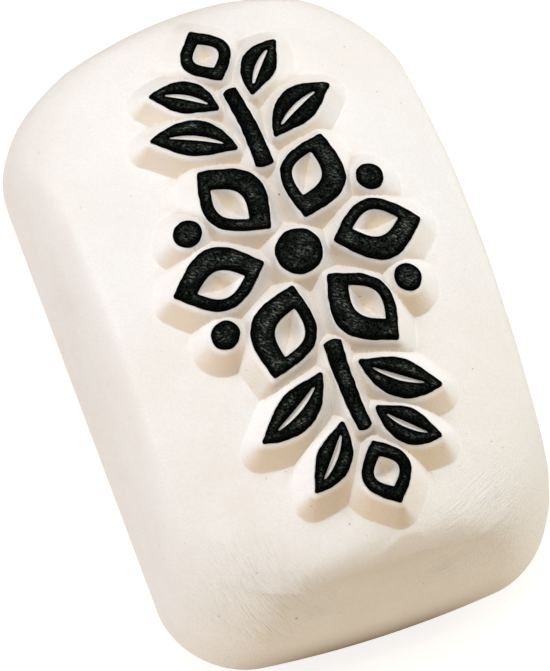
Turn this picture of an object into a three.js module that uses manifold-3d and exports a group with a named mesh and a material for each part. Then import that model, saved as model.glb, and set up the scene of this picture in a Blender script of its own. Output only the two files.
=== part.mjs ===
// A stone for pressing temporary tattoos on to skin, in millimetres, +Z up.
//
// The stone is one cast block of porous ceramic: flat below, with rounded walls
// and a domed crown, so that it can be rocked over the skin.
// On the crown stand the lands of a rosette with a leafy sprig at each end.
// Every land has a wall of one constant slope that runs down to the bare ground.
// Where two walls meet before they reach the ground they leave a V valley,
// and inside a closed petal four walls meet in a pit.
// A black flock pad lies on each land and holds the ink; a thin rim stays bare.
//
// The origin is the middle of the flat underside, and Y runs along the block.

import * as THREE from 'three';
import { mergeVertices } from 'three/addons/utils/BufferGeometryUtils.js';
import Module from 'manifold-3d';

const wasm = await Module();
wasm.setup();

// The block.
const blockLength = 66;
const blockWidth = 42.5;
const crownHeight = 32.6;
const sideDrop = 5.5;
const endDrop = 7.2;
const cornerDrop = 13;
const baseCornerRadius = 8.4;
const rimCornerRadius = 13.4;
const rimInset = 2.6;
const endDraft = 2;
const endBow = 1.95;
const wallPower = 3;
const baseRadius = 3.5;
const footHeight = 14.2;
const creaseHeight = 17.4;
const hollowHeight = 24;
const creaseDepth = 0.8;
const creaseWidth = 34;

// The relief and the pads.
const reliefDepth = 2.4;
const wallRun = 1.9;
const edgeRound = 0.4;
const bareRim = 0.13;
const padThickness = 0.35;
const padGap = 0.3;

// The rosette.
const petalCount = 6;
const eyeRadius = 2.6;
const eyeLane = 1.1;
const petalLength = 9.9;
const petalHalfWidth = 3.55;
const thickLimb = 2.8;
const thinLimb = 1.5;
const seedRadius = 1.6;
const seedLane = 1;

// A sprig.
const stemLane = 3;
const stemLength = 9.1;
const stemSwayShare = 0.1;
const stemRootHalfWidth = 1.1;
const stemTipHalfWidth = 0.9;
const leafLane = 0.85;
const lowerLeafLength = 9.2;
const lowerLeafHalfWidth = 2.15;
const lowerLeafBend = 0.6;
const lowerLeafAt = 0.28;
const lowerLeafSpread = 1.06;
const upperLeafLength = 7.6;
const upperLeafHalfWidth = 1.95;
const upperLeafBend = 0.5;
const upperLeafAt = 0.84;
const upperLeafSpread = 0.82;
const veinHalfWidth = 0.16;
const veinStart = 0.16;
const veinEnd = 0.8;
const budLane = 1;
const budLength = 6.9;
const budHalfWidth = 2.8;
const budLimb = 1.55;

const stoneMaterial = new THREE.MeshStandardMaterial({ color: 0xf2ede5, roughness: 0.85, metalness: 0 });
const flockMaterial = new THREE.MeshStandardMaterial({ color: 0x1a1b1c, roughness: 0.95, metalness: 0 });

// Height of the bare crown over the underside.
// The fall grows with the squares of x and y, and most of all towards the corners.
function crown(x, y) {
  const across = (2 * x / blockWidth) ** 2;
  const along = (2 * y / blockLength) ** 2;
  return crownHeight - sideDrop * across - endDrop * along - cornerDrop * across * along;
}

// The block's outline in plan at a level, from 0 at the rim of the crown to 1 at the wall's foot.
// The ends bow outwards and the corners are quarter circles, drawn in by an inset.
const sideSteps = 9;
const endSteps = 6;
const cornerSteps = 6;

function planRing(level, inset = 0) {
  const halfWidth = blockWidth / 2 - rimInset * (1 - level);
  const halfLength = blockLength / 2 - (rimInset + endDraft) * (1 - level);
  const corner = THREE.MathUtils.lerp(rimCornerRadius, baseCornerRadius, level);
  const [cx, cy, radius] = [halfWidth - corner, halfLength - corner, corner - inset];
  const ring = [];
  const put = (x, y) => {
    const kept = 1 - (2 * endBow / blockLength) * (2 * x / blockWidth) ** 2;
    ring.push(new THREE.Vector2(x, y * kept));
  };
  const side = (sx) => {
    for (let i = 0; i < sideSteps; i += 1) put(sx * (cx + radius), sx * cy * (2 * i / sideSteps - 1));
  };
  const end = (sy) => {
    for (let i = 0; i < endSteps; i += 1) put(sy * cx * (1 - 2 * i / endSteps), sy * (cy + radius));
  };
  const turn = (sx, sy, from) => {
    for (let i = 0; i < cornerSteps; i += 1) {
      const a = from + (Math.PI / 2) * (i / cornerSteps);
      put(sx * cx + radius * Math.cos(a), sy * cy + radius * Math.sin(a));
    }
  };
  side(1);
  turn(1, 1, 0);
  end(1);
  turn(-1, 1, Math.PI / 2);
  side(-1);
  turn(-1, -1, Math.PI);
  end(-1);
  turn(1, -1, 3 * Math.PI / 2);
  return ring;
}

// The faces of the bands between rings that all have the same number of points.
function bandFaces(ringCount, count, bands = ringCount - 1) {
  const faces = [];
  for (let k = 0; k < bands; k += 1) {
    const next = (k + 1) % ringCount;
    for (let i = 0; i < count; i += 1) {
      const j = (i + 1) % count;
      const [a, b, c, d] = [k * count + i, k * count + j, next * count + j, next * count + i];
      faces.push(a, b, c, a, c, d);
    }
  }
  return faces;
}

// The triangles of a flat lid over a ring, facing up.
function lidOver(ring) {
  return THREE.ShapeUtils.triangulateShape(ring.map((p) => new THREE.Vector2(p.x, p.y)), []);
}

function indexedGeometry(positions, faces) {
  const geometry = new THREE.BufferGeometry();
  geometry.setAttribute('position', new THREE.Float32BufferAttribute(positions, 3));
  geometry.setIndex(faces);
  return geometry;
}

const coordinates = (rings) => rings.flat().flatMap((p) => [p.x, p.y, p.z]);

// Joins rings of points, lowest first, into one closed skin with a flat face below
// and a single point on top.
function closedSkin(rings, top) {
  const count = rings[0].length;
  const faces = bandFaces(rings.length, count);
  const topIndex = rings.length * count;
  for (let i = 0; i < count; i += 1) {
    faces.push(topIndex - count + i, topIndex - count + (i + 1) % count, topIndex);
  }
  lidOver(rings[0]).forEach(([a, b, c]) => faces.push(a, c, b));
  return indexedGeometry([...coordinates(rings), top.x, top.y, top.z], faces);
}

// Turns a closed three.js geometry into a solid that can be joined and cut.
function solid(geometry) {
  const bare = geometry.clone();
  bare.deleteAttribute('normal');
  bare.deleteAttribute('uv');
  const merged = mergeVertices(bare, 1e-5);
  const mesh = new wasm.Mesh({
    numProp: 3,
    vertProperties: new Float32Array(merged.attributes.position.array),
    triVerts: new Uint32Array(merged.index.array),
  });
  return new wasm.Manifold(mesh);
}

function geometryOf(manifold) {
  const mesh = manifold.getMesh();
  const geometry = new THREE.BufferGeometry();
  geometry.setAttribute('position', new THREE.BufferAttribute(mesh.vertProperties, 3));
  geometry.setIndex(new THREE.BufferAttribute(mesh.triVerts, 1));
  geometry.computeVertexNormals();
  return geometry;
}

// Rings that shrink over the crown towards its middle, at the crown's height plus a lift.
const crownRings = 7;

function crownCap(edge, lift) {
  const rings = [];
  for (let k = 1; k < crownRings; k += 1) {
    const share = 1 - k / crownRings;
    rings.push(edge.map((p) => {
      const [x, y] = [p.x * share, p.y * share];
      return new THREE.Vector3(x, y, crown(x, y) + lift);
    }));
  }
  return rings;
}

// The foot of the front end stands proud. Over a soft crease the wall steps back, most in the
// middle of the end, and it comes out again towards the crown.
function steppedBack(p) {
  if (p.y > 0) return p;
  const { smoothstep, clamp } = THREE.MathUtils;
  const over = smoothstep(p.z, footHeight, creaseHeight);
  const under = 1 - smoothstep(p.z, creaseHeight, hollowHeight);
  const middle = clamp(1 - (2 * p.x / creaseWidth) ** 2, 0, 1) ** 2;
  return new THREE.Vector3(p.x, p.y + creaseDepth * over * under * middle, p.z);
}

// The bare block, without its relief. A wall ring is given by its share of the height from the
// wall's foot to the crown; share and level follow a superellipse, so that the wall turns
// softly into the crown.
const baseSteps = 4;
const wallShares = [0.26, 0.46, 0.6, 0.74, 0.86, 0.93, 0.97, 0.99, 1];

function blockGeometry() {
  const rings = [];
  for (let k = 0; k <= baseSteps; k += 1) {
    const a = (Math.PI / 2) * (k / baseSteps);
    const ring = planRing(1, baseRadius * (1 - Math.sin(a)));
    rings.push(ring.map((p) => new THREE.Vector3(p.x, p.y, baseRadius * (1 - Math.cos(a)))));
  }
  wallShares.forEach((share) => {
    const level = (1 - share ** wallPower) ** (1 / wallPower);
    const raised = planRing(level).map((p) => {
      const height = THREE.MathUtils.lerp(baseRadius, crown(p.x, p.y), share);
      return new THREE.Vector3(p.x, p.y, height);
    });
    rings.push(raised.map(steppedBack));
  });
  rings.push(...crownCap(planRing(0), 0));
  return closedSkin(rings, new THREE.Vector3(0, 0, crownHeight));
}

// A taller block whose top is the surface that all lands share: the crown raised by the relief.
function landCeilingGeometry() {
  const edge = planRing(0);
  const outer = edge.map((p) => p.clone().setLength(p.length() + rimCornerRadius));
  const at = (ring, height) => ring.map((p) => new THREE.Vector3(p.x, p.y, height(p)));
  const rings = [
    at(outer, () => -1),
    at(outer, (p) => crown(p.x, p.y) + reliefDepth),
    at(edge, (p) => crown(p.x, p.y) + reliefDepth),
  ];
  rings.push(...crownCap(edge, reliefDepth));
  return closedSkin(rings, new THREE.Vector3(0, 0, crownHeight + reliefDepth));
}

// A core is the sharp middle line or lens of a land: points with their outward normals.
// The land's edge lies edgeRound outside it, the wall's foot lies wallRun further out,
// and at a sharp end the normals fan out, so that the wall turns it as a cone.
const bladeSteps = 9;
const fanSteps = 4;

function bladeLine({ root, heading, length, halfWidth, bend = 0, taper = 0 }) {
  const along = new THREE.Vector2(Math.sin(heading), Math.cos(heading));
  const across = new THREE.Vector2(along.y, -along.x);
  const spine = (t) => {
    const straight = root.clone().addScaledVector(along, length * t);
    return straight.addScaledVector(across, 4 * bend * t * (1 - t));
  };
  const half = (t) => (taper ? halfWidth - taper * t : halfWidth * Math.sin(Math.PI * t));
  return { spine, half, along };
}

function sideOf(line, side, t) {
  const h = 1e-3;
  const tangent = line.spine(t + h).sub(line.spine(t - h)).normalize();
  const right = new THREE.Vector2(tangent.y, -tangent.x);
  return line.spine(t).addScaledVector(right, side * line.half(t));
}

function sideNormal(line, side, t) {
  const h = 1e-3;
  const tangent = sideOf(line, side, t + h).sub(sideOf(line, side, t - h)).normalize();
  return new THREE.Vector2(side * tangent.y, -side * tangent.x);
}

// The points between two ends of the core, with normals that turn from one's to the other's.
function fan(first, last) {
  const start = Math.atan2(first.n.y, first.n.x);
  const turn = (Math.atan2(last.n.y, last.n.x) - start + 2 * Math.PI) % (2 * Math.PI);
  const out = [];
  for (let i = 1; i < fanSteps; i += 1) {
    const a = start + turn * (i / fanSteps);
    const n = new THREE.Vector2(Math.cos(a), Math.sin(a));
    out.push({ p: first.p.clone().lerp(last.p, i / fanSteps), n });
  }
  return out;
}

// Up the right side of the blade, round its tip, down the left side and round its root.
function bladeCore(blade) {
  const line = bladeLine(blade);
  const edge = (side, t) => ({ p: sideOf(line, side, t), n: sideNormal(line, side, t) });
  const right = [];
  const left = [];
  for (let i = 0; i <= bladeSteps; i += 1) {
    right.push(edge(1, i / bladeSteps));
    left.unshift(edge(-1, i / bladeSteps));
  }
  return [...right, ...fan(right.at(-1), left[0]), ...left, ...fan(left.at(-1), right[0])];
}

const discSteps = 16;

function discCore(centre, radius) {
  const core = [];
  for (let i = 0; i < discSteps; i += 1) {
    const a = 2 * Math.PI * i / discSteps;
    const n = new THREE.Vector2(Math.cos(a), Math.sin(a));
    core.push({ p: centre.clone().addScaledVector(n, radius - edgeRound), n });
  }
  return core;
}

const offset = (core, distance) => core.map(({ p, n }) => p.clone().addScaledVector(n, distance));

// The solid under a land: a foot below the ground, the drafted wall, then straight up
// through the ceiling that cuts all lands level with the crown.
const sunk = 0.6;
const headroom = 0.8;

function bossGeometry(core) {
  const slope = reliefDepth / wallRun;
  const edge = offset(core, edgeRound);
  const foot = offset(core, edgeRound + wallRun + sunk / slope);
  const floor = Math.min(...foot.map((p) => crown(p.x, p.y))) - 2 * sunk;
  const rings = [
    foot.map((p) => new THREE.Vector3(p.x, p.y, floor)),
    foot.map((p) => new THREE.Vector3(p.x, p.y, crown(p.x, p.y) - sunk)),
    edge.map((p) => new THREE.Vector3(p.x, p.y, crown(p.x, p.y) + reliefDepth)),
    edge.map((p) => new THREE.Vector3(p.x, p.y, crown(p.x, p.y) + reliefDepth + headroom)),
  ];
  return prism(rings);
}

// Closes a stack of rings above and below with faces cut to their outlines.
function prism(rings) {
  const count = rings[0].length;
  const faces = bandFaces(rings.length, count);
  lidOver(rings[0]).forEach(([a, b, c]) => faces.push(a, c, b));
  const last = (rings.length - 1) * count;
  lidOver(rings.at(-1)).forEach(([a, b, c]) => faces.push(last + a, last + b, last + c));
  return indexedGeometry(coordinates(rings), faces);
}

// The pit inside an outlined blade: a lens at land level whose walls fall at the same slope
// until they meet in a valley over its spine.
const pitSteps = 10;

function pitGeometry(blade) {
  const slope = reliefDepth / wallRun;
  const line = bladeLine(blade);
  const level = (p) => crown(p.x, p.y) + reliefDepth;
  const positions = [];
  const put = (p, z) => positions.push(p.x, p.y, z) / 3 - 1;
  const valley = [];
  const edges = { 1: [], [-1]: [] };
  const lids = { 1: [], [-1]: [] };
  for (let i = 0; i <= pitSteps; i += 1) {
    const t = i / pitSteps;
    const middle = line.spine(t);
    const lean = Math.abs(sideNormal(line, 1, t).dot(line.along));
    const depth = slope * line.half(t) * Math.sqrt(1 - lean * lean);
    const sharp = i === 0 || i === pitSteps;
    valley.push(put(middle, level(middle) - (sharp ? 0 : depth)));
    [1, -1].forEach((side) => {
      const p = sideOf(line, side, t);
      edges[side].push(sharp ? valley.at(-1) : put(p, level(p)));
      const shared = sharp && side < 0;
      lids[side].push(shared ? lids[1].at(-1) : put(p, level(p) + headroom));
    });
  }
  const faces = [];
  const quad = (a, b, c, d) => {
    if (a !== b && b !== c && a !== c) faces.push(a, b, c);
    if (a !== c && c !== d && a !== d) faces.push(a, c, d);
  };
  for (let i = 0; i < pitSteps; i += 1) {
    quad(valley[i], valley[i + 1], edges[1][i + 1], edges[1][i]);
    quad(valley[i + 1], valley[i], edges[-1][i], edges[-1][i + 1]);
    quad(edges[1][i], edges[1][i + 1], lids[1][i + 1], lids[1][i]);
    quad(edges[-1][i + 1], edges[-1][i], lids[-1][i], lids[-1][i + 1]);
    quad(lids[1][i], lids[1][i + 1], lids[-1][i + 1], lids[-1][i]);
  }
  return indexedGeometry(positions, faces);
}

// For each point of a blade's core, the point across from it: on its window's edge, or,
// where it has no window, on its spine.
function ringWithin(blade, pit) {
  const line = bladeLine(pit ?? blade);
  const across = (side, t) => {
    if (!pit) return line.spine(t);
    const sharp = t === 0 || t === 1;
    if (sharp) return line.spine(t).addScaledVector(line.along, t === 0 ? -bareRim : bareRim);
    return sideOf(line, side, t).addScaledVector(sideNormal(line, side, t), bareRim);
  };
  const ring = [];
  for (let i = 0; i <= bladeSteps; i += 1) ring.push(across(1, i / bladeSteps));
  for (let i = 1; i < fanSteps; i += 1) ring.push(across(1, 1));
  for (let i = bladeSteps; i >= 0; i -= 1) ring.push(across(-1, i / bladeSteps));
  for (let i = 1; i < fanSteps; i += 1) ring.push(across(1, 0));
  return ring;
}

// A pad: a band between the land's outline, drawn in by the bare rim, and the ring within it,
// curved to lie over the crown.
function padGeometry({ core, within, pit }) {
  const outline = offset(core, edgeRound - bareRim);
  const under = reliefDepth + padGap;
  const lay = (ring, lift) => ring.map((p) => new THREE.Vector3(p.x, p.y, crown(p.x, p.y) + lift));
  const rings = [
    lay(within, under),
    lay(outline, under),
    lay(outline, under + padThickness),
    lay(within, under + padThickness),
  ];
  const faces = bandFaces(rings.length, core.length, pit ? rings.length : rings.length - 1);
  const geometry = indexedGeometry(coordinates(rings), faces);
  const merged = mergeVertices(geometry, 1e-4);
  const kept = [];
  for (let i = 0; i < merged.index.count; i += 3) {
    const [a, b, c] = [0, 1, 2].map((k) => merged.index.getX(i + k));
    if (a !== b && b !== c && a !== c) kept.push(a, b, c);
  }
  merged.setIndex(kept);
  merged.computeVertexNormals();
  return merged;
}

const towards = (heading) => new THREE.Vector2(Math.sin(heading), Math.cos(heading));

// A blade whose size is measured over its rounded edge.
function roundedBlade({ root, heading, length, halfWidth, bend = 0 }) {
  return {
    root: root.clone().addScaledVector(towards(heading), edgeRound),
    heading,
    length: length - 2 * edgeRound,
    halfWidth: halfWidth - edgeRound,
    bend,
  };
}

// The window of an outlined blade: a smaller lens, set over so that one limb is thicker.
function windowOf({ root, heading, length, halfWidth }, rightLimb, leftLimb) {
  const endLimb = (rightLimb + leftLimb) / 2 + edgeRound;
  const along = towards(heading);
  const across = new THREE.Vector2(along.y, -along.x);
  const start = root.clone().addScaledVector(along, endLimb);
  return {
    root: start.addScaledVector(across, (leftLimb - rightLimb) / 2),
    heading,
    length: length - 2 * endLimb,
    halfWidth: halfWidth - (rightLimb + leftLimb) / 2,
    bend: 0,
  };
}

// The vein of a leaf: a thin lens along a stretch of its spine.
function veinOf(shape) {
  const { spine } = bladeLine(shape);
  const chord = spine(veinEnd).sub(spine(veinStart));
  return {
    root: spine(veinStart),
    heading: Math.atan2(chord.x, chord.y),
    length: chord.length(),
    halfWidth: veinHalfWidth,
    bend: shape.bend * (veinEnd - veinStart) ** 2,
  };
}

function blade(name, shape, pit) {
  return { name, core: bladeCore(shape), within: ringWithin(shape, pit), pit };
}

function disc(name, centre, radius) {
  const core = discCore(centre, radius);
  return { name, core, within: core.map(() => centre) };
}

function landsOfRosette() {
  const lands = [disc('eye', new THREE.Vector2(0, 0), eyeRadius)];
  const polar = (radius, heading) => towards(heading).multiplyScalar(radius);
  const petalRoot = eyeRadius + eyeLane;
  for (let i = 0; i < petalCount; i += 1) {
    const heading = 2 * Math.PI * (i + 0.5) / petalCount;
    const root = polar(petalRoot, heading);
    const outer = { root, heading, length: petalLength, halfWidth: petalHalfWidth };
    lands.push(blade(`petal_${i + 1}`, roundedBlade(outer), windowOf(outer, thickLimb, thinLimb)));
  }
  // A seed lies in each notch between two petals that no stem grows from.
  const notches = [...Array(petalCount).keys()].filter((i) => (2 * i) % petalCount !== 0);
  const seedOrbit = petalRoot + petalLength - seedRadius - seedLane / 2;
  notches.forEach((i, k) => {
    const heading = 2 * Math.PI * i / petalCount;
    lands.push(disc(`seed_${k + 1}`, polar(seedOrbit, heading), seedRadius));
  });
  return lands;
}

// The leaves of a sprig grow in pairs: at a share of the stem, spread from it by an angle.
const leafPairs = [
  {
    at: lowerLeafAt,
    spread: lowerLeafSpread,
    length: lowerLeafLength,
    halfWidth: lowerLeafHalfWidth,
    bend: lowerLeafBend,
  },
  {
    at: upperLeafAt,
    spread: upperLeafSpread,
    length: upperLeafLength,
    halfWidth: upperLeafHalfWidth,
    bend: upperLeafBend,
  },
];

// The sprig that grows towards one end; turn is 0 for the back end and half a turn for the front.
function landsOfSprig(endName, turn) {
  const centre = new THREE.Vector2(0, 0);
  const stemStart = eyeRadius + eyeLane + petalLength / 2 + stemLane / 2;
  const stemSway = stemSwayShare * stemLength;
  const stem = {
    root: new THREE.Vector2(0, stemStart),
    heading: -stemSwayShare / 2,
    length: stemLength,
    halfWidth: stemRootHalfWidth - edgeRound,
    taper: stemRootHalfWidth - stemTipHalfWidth,
    bend: stemSway / 4,
  };
  const turned = (blade) => ({
    ...blade,
    root: blade.root.clone().rotateAround(centre, turn),
    heading: blade.heading - turn,
  });
  const lands = [blade(`stem_${endName}`, turned(stem))];
  const line = bladeLine(stem);
  const headingAt = (t) => {
    const step = line.spine(t + 1e-3).sub(line.spine(t - 1e-3));
    return Math.atan2(step.x, step.y);
  };
  leafPairs.forEach((leaf, row) => {
    [1, -1].forEach((side) => {
      const heading = headingAt(leaf.at) + side * leaf.spread;
      const outwards = sideNormal(line, side, leaf.at);
      const root = sideOf(line, side, leaf.at).addScaledVector(outwards, edgeRound + leafLane);
      const { length, halfWidth, bend } = leaf;
      const shape = roundedBlade(turned({ root, heading, length, halfWidth, bend: -side * bend }));
      const name = `leaf_${endName}_${2 * row + (side > 0 ? 1 : 2)}`;
      lands.push(blade(name, shape, veinOf(shape)));
    });
  });
  const budHeading = headingAt(1);
  const budRoot = line.spine(1).addScaledVector(towards(budHeading), edgeRound + budLane);
  const bud = turned({ root: budRoot, heading: budHeading, length: budLength, halfWidth: budHalfWidth });
  lands.push(blade(`bud_${endName}`, roundedBlade(bud), windowOf(bud, budLimb, budLimb)));
  return lands;
}

const lands = [...landsOfRosette(), ...landsOfSprig('back', 0), ...landsOfSprig('front', Math.PI)];

// The stone: the block with a boss for each land, the pits sunk in, all cut level by the ceiling.
function stoneGeometry() {
  let stone = solid(blockGeometry());
  lands.forEach(({ core }) => {
    stone = stone.add(solid(bossGeometry(core)));
  });
  lands.filter(({ pit }) => pit).forEach(({ pit }) => {
    stone = stone.subtract(solid(pitGeometry(pit)));
  });
  return geometryOf(stone.intersect(solid(landCeilingGeometry())));
}

const stamp = new THREE.Group();

const block = new THREE.Mesh(stoneGeometry(), stoneMaterial);
block.name = 'stone_block';
stamp.add(block);

const pads = new THREE.Group();
lands.forEach((land) => {
  const pad = new THREE.Mesh(padGeometry(land), flockMaterial);
  pad.name = `pad_${land.name}`;
  pads.add(pad);
});
stamp.add(pads);

export default stamp;
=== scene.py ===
# %% [markdown]
# # A stone for pressing temporary tattoos
#
# The real object is one block of cast ceramic, flat below and domed above.
# A design stands out of its crown, and every raised land of the design carries
# a thin pad of black flock, which holds the ink.
#
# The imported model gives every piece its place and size, but its walls are coarse.
# So this lesson loads it as a fixed frame, makes a finer stone and a finer pad for
# each land in numpy, and gives them their finishes.

# %% Load the frame
import math
import bmesh
import bpy
import numpy as np
from mathutils import Matrix, Vector


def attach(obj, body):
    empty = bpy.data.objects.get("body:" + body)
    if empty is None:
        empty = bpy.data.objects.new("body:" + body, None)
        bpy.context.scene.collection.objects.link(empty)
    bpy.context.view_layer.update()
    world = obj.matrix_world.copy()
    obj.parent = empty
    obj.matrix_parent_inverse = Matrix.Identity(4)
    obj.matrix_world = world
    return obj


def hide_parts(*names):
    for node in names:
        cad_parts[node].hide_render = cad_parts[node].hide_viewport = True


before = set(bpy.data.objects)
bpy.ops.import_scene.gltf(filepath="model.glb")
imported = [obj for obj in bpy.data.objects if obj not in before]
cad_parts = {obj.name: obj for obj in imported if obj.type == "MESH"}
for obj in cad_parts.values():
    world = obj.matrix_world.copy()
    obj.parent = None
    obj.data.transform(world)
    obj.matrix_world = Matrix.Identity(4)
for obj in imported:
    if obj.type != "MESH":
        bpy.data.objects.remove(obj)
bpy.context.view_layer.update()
MM = 0.001

# %% [markdown]
# ## The block
#
# A hand-finished casting has no sharp corner in it, so its shape is built from
# formulas that flow into each other, and not from a box with bevels.
# The crown falls away from its middle. Each plan outline is a rounded rectangle
# whose ends bow outwards. The outlines run through levels: level 0 is the rim of
# the crown and level 1 the foot of the wall.

# %% Crown and plan outline, in millimetres
BLOCK_LENGTH, BLOCK_WIDTH, CROWN_HEIGHT = 66.0, 42.5, 32.6
SIDE_DROP, END_DROP, CORNER_DROP = 5.5, 7.2, 13.0
BASE_CORNER, RIM_CORNER, END_BOW = 8.4, 13.4, 1.95
RIM_INSET, END_DRAFT, BASE_ROUND, SOFTNESS = 2.6, 2.0, 3.5, 3.0


def mix(a, b, share):
    """a at share 0 and b at share 1, in a straight line."""
    return a + (b - a) * share


def crown(x, y):
    """The top's height less a fall that grows with x squared, y squared and their product."""
    across, along = (2 * x / BLOCK_WIDTH) ** 2, (2 * y / BLOCK_LENGTH) ** 2
    return CROWN_HEIGHT - SIDE_DROP * across - END_DROP * along - CORNER_DROP * across * along


def outline_sizes(level):
    """Half width, half length and corner radius of the plan outline at a level."""
    half_width = mix(BLOCK_WIDTH / 2 - RIM_INSET, BLOCK_WIDTH / 2, level)
    half_length = mix(BLOCK_LENGTH / 2 - END_DRAFT - RIM_INSET, BLOCK_LENGTH / 2, level)
    return half_width, half_length, mix(RIM_CORNER, BASE_CORNER, np.maximum(level, 0))


def bow(x):
    """How much of its length the outline keeps at x: all in the middle, least at the sides."""
    return 1 - 2 * END_BOW / BLOCK_LENGTH * (2 * x / BLOCK_WIDTH) ** 2


def beyond(x, y, half_width, half_length, radius):
    """Distance outside a rounded rectangle, negative inside: how far the point lies past the
    corner's centre in x and y together, less the radius."""
    qx, qy = np.abs(x) - half_width + radius, np.abs(y) - half_length + radius
    inner = np.minimum(np.maximum(qx, qy), 0)
    return np.hypot(np.maximum(qx, 0), np.maximum(qy, 0)) + inner - radius


print("crown at the middle, side and end:",
      [round(float(crown(x, y)), 1) for x, y in ((0, 0), (18, 0), (0, 28))])

# %% [markdown]
# The wall turns into the crown along a superellipse, which is softer than a circle.
# A point of the plan lies on the outline of one level. There is no short formula
# for that level, so the range is halved until it is narrow enough.

# %% Height of the bare block over the plan
HALVINGS = 30


def level_of(x, y):
    """The level whose outline passes through a point, found by halving the range again and
    again."""
    low, high = np.full(x.shape, -1.0), np.ones(x.shape)
    for _ in range(HALVINGS):
        middle = (low + high) / 2
        out = beyond(x, y / bow(x), *outline_sizes(middle)) > 0
        low, high = np.where(out, middle, low), np.where(out, high, middle)
    return (low + high) / 2


def partner(share):
    """The other side of a superellipse: the two shares to the power of the softness add up to
    one. It turns a level into a share of the height over the foot of the wall, and back."""
    return (1 - np.clip(share, 0, 1) ** SOFTNESS) ** (1 / SOFTNESS)


def ground(x, y):
    """Height of the bare block over the plan: the crown, brought down past its rim."""
    return mix(BASE_ROUND, crown(x, y), partner(level_of(x, y)))


print("ground 1 mm inside the front end:",
      round(float(ground(np.zeros(1), np.full(1, 1 - BLOCK_LENGTH / 2))[0]), 1), "mm high")

# %% [markdown]
# ## The lands of the design
#
# A land starts as a core: a thin line or lens with its outward normals. Its edge
# lies a little outside the core, which rounds every tip, and the drafted wall
# follows further out. Each motif could be drawn by hand as a curve, but this way
# one formula gives petals, leaves, buds, stems and seeds.

# %% Sizes of the design, in millimetres
RELIEF, WALL_RUN, EDGE_ROUND, BARE_RIM = 2.4, 1.9, 0.4, 0.13
SLOPE = RELIEF / WALL_RUN
PETALS, EYE_RADIUS, EYE_LANE, PETAL_LENGTH, PETAL_HALF = 6, 2.6, 1.1, 9.9, 3.55
THICK_LIMB, THIN_LIMB, SEED_RADIUS, SEED_LANE = 2.8, 1.5, 1.6, 1.0
STEM_LANE, STEM_LENGTH, STEM_SWAY_SHARE, STEM_ROOT, STEM_TIP = 3.0, 9.1, 0.1, 1.1, 0.9
LEAF_LANE, VEIN_HALF, VEIN_START, VEIN_END = 0.85, 0.16, 0.16, 0.8
LOWER_LEAF = dict(at=0.28, length=9.2, half=2.15, spread=1.06, bend=0.6)
UPPER_LEAF = dict(at=0.84, length=7.6, half=1.95, spread=0.82, bend=0.5)
BUD_LANE, BUD_LENGTH, BUD_HALF, BUD_LIMB = 1.0, 6.9, 2.8, 1.55
print("walls of", RELIEF, "mm fall", round(math.degrees(math.atan(SLOPE)), 1),
      "degrees from the level")

# %% [markdown]
# A petal, a leaf and a window are lenses; a stem is a stroke that tapers. Both are
# a blade: a spine that may bend, and a width that changes along it.

# %% A blade
def heading_vector(heading):
    """Unit vector at an angle from +Y towards +X."""
    return np.array([math.sin(heading), math.cos(heading)])


def right_of(curve, t):
    """Unit vector square to a curve at t, to its right, from a small step to each side."""
    tangent = curve(t + 1e-3) - curve(t - 1e-3)
    tangent /= np.linalg.norm(tangent, axis=-1, keepdims=True)
    return np.stack([tangent[..., 1], -tangent[..., 0]], -1)


class Blade:
    """A lens or a tapering stroke along a bent spine."""

    def __init__(self, root, heading, length, half, bend=0.0, taper=None):
        self.root, self.heading, self.length = np.asarray(root, float), heading, length
        self.half, self.bend, self.taper = half, bend, taper
        self.along = heading_vector(heading)
        self.across = np.array([self.along[1], -self.along[0]])

    def spine(self, t):
        """Root plus a straight run, plus a parabola to the side that is bend high."""
        t = np.asarray(t, float)[..., None]
        return self.root + self.along * self.length * t + self.across * 4 * self.bend * t * (1 - t)

    def width(self, t):
        """Half the width: a half wave for a lens, a straight taper for a stroke."""
        t = np.asarray(t, float)
        return self.half * np.sin(np.pi * t) if self.taper is None else self.half - self.taper * t

    def side(self, side, t):
        """A point of the right (1) or left (-1) side: the spine moved out square to itself."""
        return self.spine(t) + side * self.width(t)[..., None] * right_of(self.spine, t)

    def side_normal(self, side, t):
        """Square to the side, pointing outwards."""
        return side * right_of(lambda s: self.side(side, s), t)


print("a blade 10 mm long and 3 mm wide has its right side at",
      Blade((0, 0), 0.0, 10.0, 1.5).side(1, np.array([0.5]))[0].round(2), "half way up")

# %% [markdown]
# The edge of a land is its core moved out along the normals. Where the sides of a
# blade meet at a tip, the normals fan round from one side to the other, so the edge
# turns there as an arc. Every core point also has a partner on an inner line, and
# the pad will reach from one to the other.

# %% Core and inner line of a land
def fan(start, end, steps):
    """Unit vectors that turn anticlockwise from one direction to another, ends left out."""
    first = math.atan2(start[1], start[0])
    turn = (math.atan2(end[1], end[0]) - first) % (2 * math.pi)
    angles = first + turn * np.arange(1, steps) / steps
    return np.stack([np.cos(angles), np.sin(angles)], -1)


SIDE_STEPS, TIP_STEPS, DISC_STEPS = 72, 14, 96


def core_of(blade):
    """Up the right side, round the tip, down the left side, round the root: points and normals."""
    t = np.linspace(0, 1, SIDE_STEPS + 1)
    right, left = blade.side_normal(1, t), blade.side_normal(-1, t)[::-1]
    tip, root = fan(right[-1], left[0], TIP_STEPS), fan(left[-1], right[0], TIP_STEPS)
    one, two = blade.side(1, t), blade.side(-1, t)[::-1]
    turn = np.arange(1, TIP_STEPS)[:, None] / TIP_STEPS
    points = [one, mix(one[-1], two[0], turn), two, mix(two[-1], one[0], turn)]
    return np.concatenate(points), np.concatenate([right, tip, left, root])


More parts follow.
